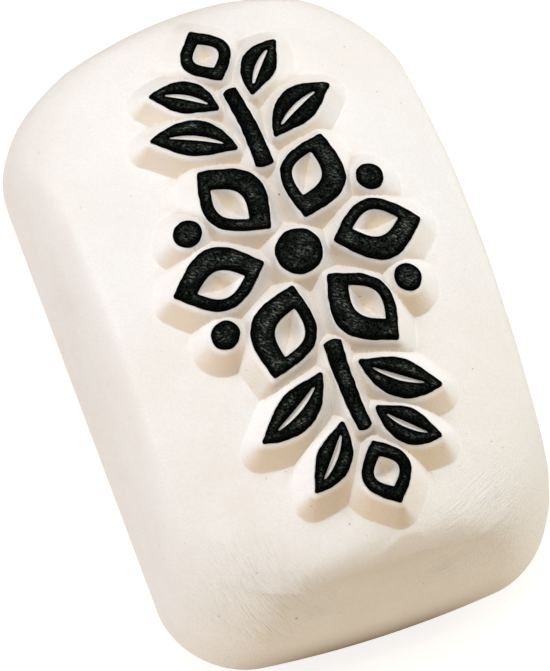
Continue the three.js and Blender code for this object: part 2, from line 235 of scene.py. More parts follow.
def ring_within(blade, pit):
    """For each core point, its partner just outside the window's edge, or on the spine where
    there is no window."""
    line, t = pit or blade, np.linspace(0, 1, SIDE_STEPS + 1)
    rim = BARE_RIM if pit else 0.0
    right, left = (line.side(s, t) + rim * line.side_normal(s, t) if pit else line.spine(t)
                   for s in (1, -1))
    ends = [line.spine([e])[0] + line.along * (2 * e - 1) * rim for e in (1.0, 0.0)]
    for side in (right, left):
        side[-1], side[0] = ends
    tip, root = (np.repeat(e[None], TIP_STEPS - 1, 0) for e in ends)
    return np.concatenate([right, tip, left[::-1], root])


print("a core has", 2 * (SIDE_STEPS + TIP_STEPS), "points")

# %% [markdown]
# Five helpers make the motifs: a land round any blade, a disc, a blade that is
# measured over its rounded edge, the window of an outlined shape, and the vein of a
# leaf. A window is set a little to one side, as a broad pen leaves one limb thicker.

# %% Motifs
def land(name, blade, pit=None, vein=False):
    """A land round a blade: its core, and the inner line that its pad runs to."""
    core, normals = core_of(blade)
    within = ring_within(blade, pit)
    return dict(name=name, core=core, normals=normals, within=within, pit=pit, vein=vein)


def disc(name, centre, radius):
    """A round land: a circle of points with the centre as its inner line."""
    angles = 2 * np.pi * np.arange(DISC_STEPS) / DISC_STEPS
    normals = np.stack([np.cos(angles), np.sin(angles)], -1)
    core = centre + normals * (radius - EDGE_ROUND)
    within = np.repeat([centre], DISC_STEPS, 0)
    return dict(name=name, core=core, normals=normals, within=within, pit=None, vein=False)


def rounded(root, heading, length, half, bend=0.0):
    """A blade whose sizes are measured over its rounded edge."""
    start = root + heading_vector(heading) * EDGE_ROUND
    return Blade(start, heading, length - 2 * EDGE_ROUND, half - EDGE_ROUND, bend)


def window(root, heading, length, half, right_limb, left_limb):
    """A smaller lens inside an outlined blade, set over so that one limb is thicker."""
    along, mean = heading_vector(heading), (right_limb + left_limb) / 2
    across = np.array([along[1], -along[0]])
    start = root + along * (mean + EDGE_ROUND) + across * (left_limb - right_limb) / 2
    return Blade(start, heading, length - 2 * (mean + EDGE_ROUND), half - mean)


def vein_of(leaf):
    """A thin lens along a stretch of the leaf's spine."""
    start, end = leaf.spine([VEIN_START])[0], leaf.spine([VEIN_END])[0]
    chord = end - start
    bend = leaf.bend * (VEIN_END - VEIN_START) ** 2
    return Blade(start, math.atan2(*chord), np.hypot(*chord), VEIN_HALF, bend)


print("a disc's edge has", len(disc("eye", np.zeros(2), EYE_RADIUS)["core"]), "points")

# %% [markdown]
# The rosette has an eye, six outlined petals and four seeds. A sprig with a stem,
# two pairs of leaves and an outlined bud grows towards each end. Petals and seeds
# are set round a circle, and the second sprig is the first one turned half way
# round, so a change to one shape changes them all.

# %% Rosette and sprigs
def rosette():
    """The eye, the petals at equal turns round it, and a seed in each notch between two petals
    that isn't taken by a sprig."""
    petal_root = EYE_RADIUS + EYE_LANE
    lands = [disc("eye", np.zeros(2), EYE_RADIUS)]
    for i in range(PETALS):
        turn = 2 * np.pi * (i + 0.5) / PETALS
        shape = (heading_vector(turn) * petal_root, turn, PETAL_LENGTH, PETAL_HALF)
        lands.append(land(f"petal_{i + 1}", rounded(*shape), window(*shape, THICK_LIMB, THIN_LIMB)))
    orbit = petal_root + PETAL_LENGTH - SEED_RADIUS - SEED_LANE / 2
    notches = [2 * np.pi * i / PETALS for i in range(PETALS) if 2 * i % PETALS]
    return lands + [disc(f"seed_{k + 1}", heading_vector(turn) * orbit, SEED_RADIUS)
                    for k, turn in enumerate(notches)]


def sprig(end, turn):
    """A stem that starts between two petals, a leaf to each side at two places along it and a
    bud past its tip, all turned about the middle of the stone."""
    spin = np.array([[math.cos(turn), math.sin(turn)], [-math.sin(turn), math.cos(turn)]])
    start = EYE_RADIUS + EYE_LANE + PETAL_LENGTH / 2 + STEM_LANE / 2
    stem = Blade((0, start), -STEM_SWAY_SHARE / 2, STEM_LENGTH, STEM_ROOT - EDGE_ROUND,
                 STEM_SWAY_SHARE * STEM_LENGTH / 4, STEM_ROOT - STEM_TIP)

    def heading_at(t):
        """The way the stem points at a share of its length."""
        return math.atan2(*(stem.spine([t + 1e-3]) - stem.spine([t - 1e-3]))[0])

    turned_stem = Blade(stem.root @ spin, stem.heading - turn, stem.length, stem.half, stem.bend,
                        stem.taper)
    lands = [land(f"stem_{end}", turned_stem)]
    for row, leaf in enumerate((LOWER_LEAF, UPPER_LEAF)):
        for side in (1, -1):
            at = np.array([leaf["at"]])
            off = stem.side_normal(side, at) * (EDGE_ROUND + LEAF_LANE)
            root = (stem.side(side, at) + off)[0] @ spin
            turned = heading_at(leaf["at"]) + side * leaf["spread"] - turn
            shape = rounded(root, turned, leaf["length"], leaf["half"], -side * leaf["bend"])
            name = f"leaf_{end}_{2 * row + (1 if side > 0 else 2)}"
            lands.append(land(name, shape, vein_of(shape), True))
    out = heading_at(1.0)
    root = (stem.spine([1.0])[0] + heading_vector(out) * (EDGE_ROUND + BUD_LANE)) @ spin
    shape = (root, out - turn, BUD_LENGTH, BUD_HALF)
    return lands + [land(f"bud_{end}", rounded(*shape), window(*shape, BUD_LIMB, BUD_LIMB))]


LANDS = rosette() + sprig("back", 0.0) + sprig("front", math.pi)
print(len(LANDS), "lands:", ", ".join(l["name"] for l in LANDS))

# %% [markdown]
# ## Marks of the hand
#
# The casting was trimmed and rubbed by hand, so its ground isn't one clean curve.
# It has slow dents, a small roll of clay in front of the foremost bud, and a nick.
# They could be sculpted, but waves and bells that are added to the height keep
# their place when the mesh gets finer.

# %% Small marks on the ground, in millimetres
DENT_DEPTH, SHORTER = 0.09, 0.82
NICK, NICK_DEPTH, NICK_LONG, NICK_SHORT = (12.5, -27.8), 0.12, 0.75, 0.22
ROLL_Y, ROLL_HEIGHT, ROLL_HALF, ROLL_SPREAD, ROLL_DITCH = -30.3, 0.2, 3.2, 0.4, 0.85
ROLL_SLANT, ROLL_SWAY, ROLL_SWAYS = 0.12, 0.35, 0.9


def waves(x, y, seed, count=9, longest=16.0):
    """Sine waves in many directions, each shorter and lower than the last, added up to about
    plus or minus one."""
    pick = np.random.default_rng(seed)
    turn, phase = pick.uniform(0, 2 * np.pi, (2, count))
    length = longest * SHORTER ** np.arange(count)
    total = sum(l * np.sin(2 * np.pi / l * (x * np.cos(t) + y * np.sin(t)) + p)
                for l, t, p in zip(length, turn, phase))
    return total / length.sum() * 2


def hand_marks(x, y):
    """Slow dents, plus a roll, less a nick that is a narrow bell. The roll is a bell across its
    wavy line, with a ditch half as deep before it, and fades at its ends."""
    dents = DENT_DEPTH * waves(x, y, 3)
    line = ROLL_Y + ROLL_SLANT * x + ROLL_SWAY * np.sin(ROLL_SWAYS * x)
    off, fade = y - line, np.exp(-(x / ROLL_HALF) ** 4)
    ridge, ditch = (np.exp(-(d / ROLL_SPREAD) ** 2) for d in (off, off + ROLL_DITCH))
    roll = ROLL_HEIGHT * (ridge - 0.5 * ditch) * fade
    nx, ny = x - NICK[0], y - NICK[1]
    nick = NICK_DEPTH * np.exp(-((nx + ny) / NICK_LONG) ** 2 - ((nx - ny) / NICK_SHORT) ** 2)
    return dents + roll - nick


sampled = hand_marks(*np.meshgrid(np.arange(-15, 15), np.arange(-25, 25)))
print("marks from", round(float(sampled.min()), 2), "to", round(float(sampled.max()), 2), "mm")

# %% [markdown]
# ## Relief over the plan
#
# Every land stands on a wall with one slope, as in a mould. Such a wall could be
# cut with booleans, but here the height depends on how far a point lies from the
# nearest land's edge. Where two walls are equally near they leave a valley. Both
# distances are kept, so that the mesh can later be drawn on to the valleys.

# %% Distance to a line
SLAB = 4000


def to_line(points, line, closed=True):
    """Distance from each point to the nearest of a line's segments, the unit vector away from
    it, and whether the point lies within the line."""
    a, b = line, np.roll(line, -1, 0)
    if not closed:
        a, b = a[:-1], b[:-1]
    edge = b - a
    length2 = np.maximum((edge ** 2).sum(1), 1e-12)
    best, away = np.full(len(points), np.inf), np.zeros((len(points), 2))
    crossings = np.zeros(len(points), int)
    for piece in np.array_split(np.arange(len(points)), max(1, len(points) // SLAB)):
        p = points[piece, None]
        share = np.clip(((p - a) * edge).sum(2) / length2, 0, 1)
        gap = p - (a + share[..., None] * edge)
        distance = np.hypot(gap[..., 0], gap[..., 1])
        nearest = distance.argmin(1)
        rows = np.arange(len(piece))
        best[piece], away[piece] = distance[rows, nearest], gap[rows, nearest]
        spans = (a[:, 1] > p[..., 1]) != (b[:, 1] > p[..., 1])
        with np.errstate(divide="ignore", invalid="ignore"):
            cut = a[:, 0] + (p[..., 1] - a[:, 1]) / edge[:, 1] * edge[:, 0]
        crossings[piece] = (spans & (p[..., 0] < cut)).sum(1)
    return best, away / np.maximum(best, 1e-9)[:, None], crossings % 2 == 1


square = np.array([[-1, -1], [1, -1], [1, 1], [-1, 1]], float)
print("from (3, 0) to a square from -1 to 1:", float(to_line(np.array([[3.0, 0.0]]), square)[0][0]))

# %% [markdown]
# Each land only looks at the points round it. A point remembers the two nearest
# edges and, inside a window, the two sides of that window.

# %% Distances to the lands
FAR, SPARE, WINDOW_STEPS = 9.0, 1.6, 96


def measure(points):
    """For every point: signed distances to the nearest and second nearest land, the same for
    the two sides of a window around it, and the directions in which they grow."""
    count, kinds = len(points), ("near", "second", "pit", "pit_far")
    field = {key: np.full(count, FAR) for key in kinds}
    field.update({key + "_way": np.zeros((count, 2)) for key in kinds})
    field["pit"][:], field["vein"] = -FAR, np.zeros(count, bool)
    for item in LANDS:
        # only the points in a box round the land, negative where they lie inside its edge
        edge = item["core"] + item["normals"] * EDGE_ROUND
        low, high = edge.min(0) - WALL_RUN - SPARE, edge.max(0) + WALL_RUN + SPARE
        index = np.flatnonzero(((points > low) & (points < high)).all(1))
        distance, way, inside = to_line(points[index], edge)
        sign = np.where(inside, -1.0, 1.0)
        distance, way = distance * sign, way * sign[:, None]
        # a nearer land takes first place, and the old first one moves to second place
        nearer = distance < field["near"][index]
        hit, rest = index[nearer], index[~nearer]
        for suffix in ("", "_way"):
            field["second" + suffix][hit] = field["near" + suffix][hit]
        field["near"][hit], field["near_way"][hit] = distance[nearer], way[nearer]
        next_best = distance[~nearer] < field["second"][rest]
        field["second"][rest[next_best]] = distance[~nearer][next_best]
        field["second_way"][rest[next_best]] = way[~nearer][next_best]
        if item["pit"] is None:
            continue
        # inside a land with a window: the distances to the window's two sides
        index = index[inside]
        t = np.linspace(0, 1, WINDOW_STEPS + 1)
        right, left = item["pit"].side(1, t), item["pit"].side(-1, t)
        one, one_way, _ = to_line(points[index], right, False)
        two, two_way, _ = to_line(points[index], left, False)
        _, _, within = to_line(points[index], np.concatenate([right, left[-2:0:-1]]))
        swap = two < one
        near, far = np.where(swap, two, one), np.where(swap, one, two)
        near_way = np.where(swap[:, None], two_way, one_way)
        far_way = np.where(swap[:, None], one_way, two_way)
        sign = np.where(within, 1.0, -1.0)
        field["pit"][index], field["pit_way"][index] = near * sign, near_way * sign[:, None]
        field["pit_far"][index], field["pit_far_way"][index] = far, far_way
        field["vein"][index] = item["vein"]
    return field


probe = measure(np.array([[0.0, 0.0], [0.0, 5.0]]))
print("edges lie", probe["near"].round(2), "mm from the middle of the eye and from a gap")

# %% [markdown]
# The height of a point follows from its distances. The small marks fade out in the
# lanes between the lands, which a tool has kept clean.

# %% The height of the relief
FOOT_BLEND, LANE_QUIET = 0.1, (0.2, 1.2)


def smooth(low, high, value):
    """0 below low, 1 above high, with a smooth rise between."""
    s = np.clip((value - low) / (high - low), 0, 1)
    return s * s * (3 - 2 * s)


def over_ground(points, near):
    """How far the wall that falls from the nearest edge stands above the ground there."""
    x, y = points.T
    marks_there = hand_marks(x, y) * smooth(*LANE_QUIET, near)
    return crown(x, y) + RELIEF - SLOPE * near - ground(x, y) - marks_there


def relief_height(points, field):
    """The ground, or the wall where that is higher, with a small fillet where they are about
    equal; land level inside an edge; inside a window the land level less the pit's depth."""
    x, y = points.T
    level, near = crown(x, y) + RELIEF, field["near"]
    base = ground(x, y) + hand_marks(x, y) * smooth(*LANE_QUIET, near)
    wall = level - SLOPE * np.maximum(near, 0)
    fillet = np.clip(FOOT_BLEND - np.abs(wall - base), 0, None) ** 2 / (4 * FOOT_BLEND)
    z = np.where(near < 2 * WALL_RUN, np.maximum(wall, base) + fillet * smooth(0, 0.6, near), base)
    return np.where(field["pit"] > 0, level - SLOPE * np.maximum(field["pit"], 0), z)


centre = np.zeros((1, 2))
print("the eye stands", round(float(relief_height(centre, measure(centre))[0]), 2), "mm high")

# %% [markdown]
# ## The stone's mesh
#
# A plain grid would show every slanting edge as a staircase. So each grid point
# that lies within half a step of an edge, a valley or the foot of a wall is moved
# on to it. The grid stays a grid, and the edges come out clean.

# %% Draw a fine grid on to the features
PITCH, REACH = 0.18, 0.51
PATCH_WIDTH, PATCH_LENGTH, PATCH_CORNER = 17.9, 31.2, 11.0
columns, rows = (2 * int(size / PITCH + 2) + 1 for size in (PATCH_WIDTH, PATCH_LENGTH))
gx, gy = np.meshgrid((np.arange(columns) - columns // 2) * PITCH,
                     (np.arange(rows) - rows // 2) * PITCH)
plan = np.stack([gx.ravel(), gy.ravel()], -1)


def slope_of(function, points, step=1e-3):
    """The way a height or a distance grows over the plan, from small steps to each side."""
    x, y = points.T
    return np.stack([function(x + step, y) - function(x - step, y),
                     function(x, y + step) - function(x, y - step)], -1) / (2 * step)


def patch_edge(x, y):
    """Distance outside the patch that the fine grid covers."""
    return beyond(x, y, PATCH_WIDTH, PATCH_LENGTH, PATCH_CORNER)


def draw_on(points):
    """Moves each point by minus value times slope over slope squared, where a feature's value
    is so small that its line passes within half a step of the point."""
    field = measure(points)
    wall = over_ground(points, field["near"])
    wall_way = slope_of(lambda x, y: crown(x, y) - ground(x, y), points) - SLOPE * field["near_way"]
    outer = (field["near"] > 0) & (wall > -0.3)
    within = field["pit"] > 0
    features = [
        # the patch's own edge, a land's edge and a window's edge
        (np.ones(len(points), bool), patch_edge(*points.T), slope_of(patch_edge, points, 1e-4)),
        (field["near"] < FAR, field["near"], field["near_way"]),
        (~field["vein"] & (field["pit"] > -FAR), field["pit"], field["pit_way"]),
        # the bottom of a pit, the bottom of a valley and the foot of a wall
        (within, field["pit_far"] - field["pit"], field["pit_far_way"] - field["pit_way"]),
        (outer, field["second"] - field["near"], field["second_way"] - field["near_way"]),
        (field["near"] > 0, wall, wall_way),
    ]
    move, free = np.zeros_like(points), np.ones(len(points), bool)
    for where, value, way in features:
        reach = REACH * PITCH * np.abs(way).max(1)
        take = free & where & (np.abs(value) <= reach)
        move[take] = -(value / np.maximum((way ** 2).sum(1), 1e-9))[take, None] * way[take]
        free &= ~take
    return points + move, (~free).sum()


plan, drawn = draw_on(plan)
field = measure(plan)
height = relief_height(plan, field)
outside = patch_edge(*plan.T)
print(f"grid of {columns} by {rows}, {drawn} points drawn on to a feature")

# %% [markdown]
# Each cell is cut into two triangles along the diagonal that lies nearer to the
# true surface at the cell's middle, so the creases follow the diagonals too.
# Cells outside the patch are left out, and its edge becomes one closed loop.

# %% Cut the cells
CLOSE, ON_EDGE = 0.3, 1e-6
index = np.arange(columns * rows).reshape(rows, columns)
four = index[:-1, :-1], index[:-1, 1:], index[1:, 1:], index[1:, :-1]
corners = np.stack([part.ravel() for part in four])
close_by = (outside[corners] <= CLOSE).all(0)
a, b, c, d = corners = corners[:, close_by]
middle = plan[corners].mean(0)
true = relief_height(middle, measure(middle))
slash = np.abs((height[a] + height[c]) / 2 - true) <= np.abs((height[b] + height[d]) / 2 - true)
# a cell with one corner outside the patch keeps the half that lies inside
out = outside[corners] > ON_EDGE
slash = np.where(out.sum(0) == 1, out[1] | out[3], slash)
triangles = np.concatenate([
    np.stack([a, b, c], -1)[slash], np.stack([a, c, d], -1)[slash],
    np.stack([a, b, d], -1)[~slash], np.stack([b, c, d], -1)[~slash],
])
triangles = triangles[(outside[triangles] <= ON_EDGE).all(1)]
# an edge that only one triangle uses lies on the patch's edge, and these form the loop
half_edges = np.concatenate([triangles[:, [0, 1]], triangles[:, [1, 2]], triangles[:, [2, 0]]])
key = half_edges.min(1) * plan.shape[0] + half_edges.max(1)
_, first, uses = np.unique(key, return_index=True, return_counts=True)
rim_edges = half_edges[first[uses == 1]]
follow = dict(zip(*rim_edges.T.tolist()))
loop = rim_edges[:, 0][np.argsort(np.arctan2(plan[rim_edges[:, 0], 1], plan[rim_edges[:, 0], 0]))]
broken = sum(follow[p] != q for p, q in zip(loop.tolist(), np.roll(loop, -1).tolist()))
print(len(triangles), "triangles on the patch,", len(loop), "points round its edge,", broken,
      "out of order")

# %% [markdown]
# Below the patch the stone goes on as rings: over the shoulder, down the wall and
# round the base. Every second point of the loop starts a column. A column keeps
# its place along the outline while the outline's level changes.

# %% Where each column stands
if len(loop) % 2:
    raise ValueError("the loop needs an even number of points")
starts = loop[::2]
start_level = level_of(*plan[starts].T)
x, y = plan[starts].T
# the four quarters are alike, so the place is worked out in the first, and the sign is kept
sign = np.stack([np.where(x < 0, -1.0, 1.0), np.where(y < 0, -1.0, 1.0)])
half_w, half_l, radius = outline_sizes(start_level)
qx, qy = np.abs(x) - half_w + radius, np.abs(y / bow(x)) - half_l + radius
on_corner, on_side = (qx > 0) & (qy > 0), (qx > 0) & (qy <= 0)
angle = np.where(on_corner, np.arctan2(qy, qx), np.where(on_side, 0, np.pi / 2))
share_x, share_y = np.abs(x) / (half_w - radius), np.abs(y / bow(x)) / (half_l - radius)


def column_points(level, inset=0.0):
    """A side keeps its share of the straight length, an end likewise, and a corner its angle."""
    half_width, half_length, radius = outline_sizes(level)
    cx, cy, r = half_width - radius, half_length - radius, radius - inset
    px = np.where(on_corner | on_side, cx + r * np.cos(angle), cx * share_x)
    py = np.where(on_corner | ~on_side, cy + r * np.sin(angle), cy * share_y)
    return np.stack([sign[0] * px, sign[1] * py * bow(px)], -1)


print(len(starts), "columns,", int(on_corner.sum()), "of them in the corners")

# %% [markdown]
# The front end has a soft crease under its shoulder, over a foot that turns back
# like a lip. It could be sculpted into the finished mesh. Here it is a bell of the
# height that moves the wall back, so it stays soft however close the rings lie.

# %% The crease of the front end, in millimetres
CREASE, CREASE_RIGHT, LIP_SPREAD, HOLLOW_SPREAD, STAND_BACK = 19.0, 13.0, 4.2, 5.4, 1.05
CREASE_FALL, CREASE_FADE = (6, 18), (5, 18)


def crease_at(x):
    """Height of the crease over the front foot, which falls off to the right."""
    return mix(CREASE, CREASE_RIGHT, smooth(*CREASE_FALL, x))


def stand_back(points):
    """The front end stands back at the crease as a bell of the height, steeper below, where the
    foot turns back like a lip, than above, where the wall comes out again."""
    x, y, z = points.T
    off = z - crease_at(x)
    lip = np.exp(-(off / np.where(off < 0, LIP_SPREAD, HOLLOW_SPREAD)) ** 2)
    moved = points.copy()
    moved[:, 1] += np.where(y < 0, STAND_BACK * lip * (1 - smooth(*CREASE_FADE, np.abs(x))), 0)
    return moved


print("crease from", crease_at(0.0), "to", crease_at(20.0), "mm high")

# %% [markdown]
# The rows lie close together where the stone turns and farther apart on the wall.
# The wall gets shallow dents that only go inwards, so that the stone stays inside
# its box.

# %% Rings from the patch down to the base
SHOULDER_ROWS, WALL_ROWS, BASE_ROWS, WALL_LEVEL = 12, 26, 8, 0.8
WALL_DENT, WALL_DENT_TOP = 0.12, 9.0
rings = []
# over the shoulder by the level, down the wall by the height, round the base by the angle
for k in range(1, SHOULDER_ROWS + 1):
    level = mix(start_level, WALL_LEVEL, math.sin(math.pi / 2 * k / SHOULDER_ROWS))
    p = column_points(level)
    rings.append(np.column_stack([p, mix(BASE_ROUND, crown(*p.T), partner(level))]))
for k in range(1, WALL_ROWS + 1):
    share = partner(WALL_LEVEL) * (1 - k / WALL_ROWS)
    p = column_points(partner(share))
    rings.append(np.column_stack([p, mix(BASE_ROUND, crown(*p.T), share)]))
for k in range(1, BASE_ROWS + 1):
    turn = math.pi / 2 * k / BASE_ROWS
    p = column_points(1.0, BASE_ROUND * (1 - math.cos(turn)))
    rings.append(np.column_stack([p, np.full(len(p), BASE_ROUND * (1 - math.sin(turn)))]))
rings = [stand_back(ring) for ring in rings]
for k, ring in enumerate(rings):
    x, y, z = ring.T
    ring[:, 2] += hand_marks(x, y) * (1 - smooth(0, SHOULDER_ROWS, k))
    deep = np.clip((1 + waves(x + 2 * z, y - z, 5, count=7, longest=20)) / 2, 0, 1)
    dent = WALL_DENT * smooth(BASE_ROUND, WALL_DENT_TOP, z) * smooth(0, SHOULDER_ROWS, k) * deep
    ring[:, :2] *= (1 - dent / np.hypot(x, y))[:, None]
print(len(rings), "rings of", len(starts), "points, lowest at",
      round(float(rings[-1][:, 2].min()), 3))

# %% [markdown]
# The patch has two points on its edge for every column of the rings. Three
# triangles between two columns take up that difference, so that the stone is one
# closed skin. A cast block has no seam there, and with shared points none shows.

# %% Join the patch and the rings
used, triangles = np.unique(triangles, return_inverse=True)
triangles = triangles.reshape(-1, 3)
place = np.full(plan.shape[0], -1)
place[used] = np.arange(len(used))
patch_loop, n = place[loop], len(starts)
vertices = np.concatenate([np.column_stack([plan, height])[used]] + rings)
ring_index = len(used) + np.arange(len(rings) * n).reshape(len(rings), n)
p0, p1, p2 = patch_loop[0::2], patch_loop[1::2], np.roll(patch_loop[0::2], -1)
q0, q1 = ring_index[0], np.roll(ring_index[0], -1)
skirt = np.concatenate([np.stack(f, -1) for f in ((p1, p0, q0), (p1, q0, q1), (p2, p1, q1))])
upper, lower = ring_index[:-1], ring_index[1:]
quads = np.stack([upper, lower, np.roll(lower, -1, 1), np.roll(upper, -1, 1)], -1).reshape(-1, 4)
print(len(vertices), "points,", len(triangles) + len(skirt) + 2 * len(quads),
      "triangles without the underside")

# %% [markdown]
# Whole arrays go into a Blender mesh at once: first the points, then the corners
# of all faces one after another, then the place where each face starts.

# %% A helper that makes a piece
def new_piece(name, points, faces, slot=None, marks=None):
    """Points are in millimetres. Faces are arrays, each for one count of corners. Marks are
    named values, one for each point, that the materials read."""
    mesh = bpy.data.meshes.new(name)
    corners = np.concatenate([f.ravel() for f in faces]).astype(np.int32)
    sizes = np.concatenate([np.full(len(f), f.shape[1]) for f in faces])
    mesh.vertices.add(len(points))
    mesh.vertices.foreach_set("co", (points * MM).astype(np.float32).ravel())
    mesh.loops.add(len(corners))
    mesh.loops.foreach_set("vertex_index", corners)
    mesh.polygons.add(len(sizes))
    mesh.polygons.foreach_set("loop_start", (np.cumsum(sizes) - sizes).astype(np.int32))
    mesh.polygons.foreach_set("use_smooth", np.ones(len(sizes), bool))
    for mark, values in (marks or {}).items():
        layer = mesh.attributes.new(mark, "FLOAT", "POINT")
        layer.data.foreach_set("value", np.asarray(values, np.float32))
    mesh.update(calc_edges=True)
    mesh.validate()
    piece = bpy.data.objects.new(name, mesh)
    bpy.context.scene.collection.objects.link(piece)
    if slot:
        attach(piece, "root")
    return piece


print("pieces go into the", bpy.context.scene.collection.name)

# %% [markdown]
# Painted shade: the valleys and pits are tan, the outer walls and the pits' walls that face the
# front are tan, and the front foot and a soft band above its crease are darker, as shade falls
# there. The mesh knows how near a point lies to an edge, which way its wall faces and how high it
# is. So these marks are worked out here and kept on the points, for the finish to read.

# %% Marks of painted shade
FOOT_TOP, FOOT_FADE, FOLD_ABOVE, FOLD_SPREAD = 10.5, 8.5, 2.8, 3.0
TOWARDS_FRONT = np.array([-0.35, -0.94])
ringed = len(rings) * n
here = {key: value[used] for key, value in field.items()}
near, pit, rise = here["near"], here["pit"], over_ground(plan[used], here["near"])
across_valley, across_pit = here["second"] - near, here["pit_far"] - pit
# painted shade: a tan tint on the outer walls that face the front
front_wall_shade = smooth(0.2, 1.0, here["near_way"] @ TOWARDS_FRONT)
in_pit = smooth(-0.1, 0.6, pit) * (pit > 0)
# painted shade: a warm tint on the pits' walls that face the front
front_pit_shade = in_pit * smooth(0.0, 1.0, here["pit_way"] @ TOWARDS_FRONT)
# painted shade lies over the whole of a valley or a pit, and stronger along its bottom line
valley = smooth(1.1, 0, across_valley) * smooth(0.1, 0.9, near) * smooth(3.4, 1.9, near)
bottom = np.exp(-(across_valley / 0.35) ** 2) * smooth(0.5, 1.2, near) * smooth(-0.05, 0.45, rise)
bottom += np.exp(-(across_pit / 0.3) ** 2) * smooth(0.25, 0.9, pit)
recess = 0.55 * np.maximum(valley, smooth(0.1, 1.2, pit)) + 0.5 * bottom
# painted shade grows towards the bottom of the front foot, and lies in a soft band above the crease
x, y, z = vertices.T
foot_shade = 1.3 * np.clip((FOOT_TOP - z) / FOOT_FADE, 0, 1) ** 2.2
crease_shade = 0.17 * np.exp(-((z - crease_at(x) - FOLD_ABOVE) / FOLD_SPREAD) ** 2)
# the valley mark, the two marks of walls that face the front and the front foot mark hold painted
# shade; wall rise and wall edge are shape
marks = {
    "recess": np.concatenate([recess, np.zeros(ringed)]),
    "front wall shade": np.concatenate([front_wall_shade, np.zeros(ringed)]),
    "wall rise": np.concatenate([np.clip(rise, -1, 3), np.full(ringed, -1.0)]),
    "wall edge": np.concatenate([np.clip(near, -1, 3), np.full(ringed, -1.0)]),
    "front pit shade": np.concatenate([front_pit_shade, np.zeros(ringed)]),
    "front foot shade": (foot_shade + crease_shade) * smooth(-20, -29, y) * smooth(19, 3, np.abs(x + 1)),
}
print("marks:", {name: round(float(values.max()), 2) for name, values in marks.items()}, "at most")

# %% [markdown]
# The underside is one flat face inside the last ring. Edges that bend by more than
# the sharp angle stay crisp, and all others are shaded smooth.

# %% The stone
SHARP = 26.0
underside = ring_index[-1][::-1][None]
stone = new_piece("stone", vertices, [triangles, skirt, quads, underside], "stone", marks)
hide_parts("stone_block")
stone.data.set_sharp_from_angle(angle=math.radians(SHARP))
check = bmesh.new()
check.from_mesh(stone.data)
print("stone:", len(check.verts), "points,", sum(len(f.verts) - 2 for f in check.faces),
      "triangles,", sum(not e.is_manifold for e in check.edges), "open edges, volume",
      round(check.calc_volume(signed=True) * 1e6, 2), "ml")
check.free()

# %% [markdown]
# ## The flock pads
#
# Each land carries a pad of short black pile, glued on, with a soft rounded rim.
# A flat face with a Solidify and a Bevel would do for plain shapes, but a bevel
# breaks up at sharp tips. So a pad is one closed surface: a profile runs from its
# outer edge over the rim and across the top to the window, the vein or the spine,
# and back below.

# %% Profile of a pad, in millimetres
PAD_SINK, PAD_THICK, PAD_SIDE, PAD_RIM, TOP_ROWS, RIM_STEPS = 0.03, 0.46, 0.12, 0.34, 16, 6
PAD_WAVE = 0.05


def waviness(x, y):
    """A few slow waves in different directions, added up to about plus or minus one."""
    slow = np.sin(3.1 * x + 1.7 * y) + np.sin(1.3 * x - 4.3 * y + 1)
    return (slow + np.sin(6.7 * x + 5.1 * y + 2) * 0.6) / 2.6


def pad_surface(item):
    """Shares of the way from the pad's edge to its inner line, and the height there: over the
    rim a quarter of a circle, then level. The inner edge is rounded likewise at a window."""
    core, normals, within = item["core"], item["normals"], item["within"]
    edge = core + normals * (EDGE_ROUND - BARE_RIM + PAD_WAVE * waviness(*core.T)[:, None])
    run = np.linalg.norm(within - edge, axis=1)
    room = np.minimum(PAD_RIM, run * (0.5 if item["pit"] else 1.0))
    rows = [(edge, -PAD_SINK)]
    turns = np.linspace(0, np.pi / 2, RIM_STEPS)
    shares = [(1 - np.cos(t)) * room / np.maximum(run, 1e-9) for t in turns]
    heights = [PAD_SIDE + (PAD_THICK - PAD_SIDE) * np.sin(t) for t in turns]
    start, end = shares[-1], 1 - shares[-1] if item["pit"] else np.ones_like(run)
    middle = [(mix(start, end, k / TOP_ROWS), PAD_THICK) for k in range(1, TOP_ROWS)]
    profile = list(zip(shares, heights)) + middle
    if item["pit"]:
        profile += [(1 - s, h) for s, h in zip(shares[::-1], heights[::-1])]
        profile += [(np.ones_like(run), -PAD_SINK)]
    else:
        profile += [(np.ones_like(run), PAD_THICK), (np.ones_like(run), -PAD_SINK)]
    return rows + [(mix(edge, within, np.asarray(s)[:, None]), h) for s, h in profile]


print("the eye's pad has", len(pad_surface(LANDS[0])), "rows")

# %% [markdown]
# The rows are lifted on to their land and joined by quads. The mark "rim" tells the
# finish how near a point lies to the pad's edge, where the pile looks blacker.

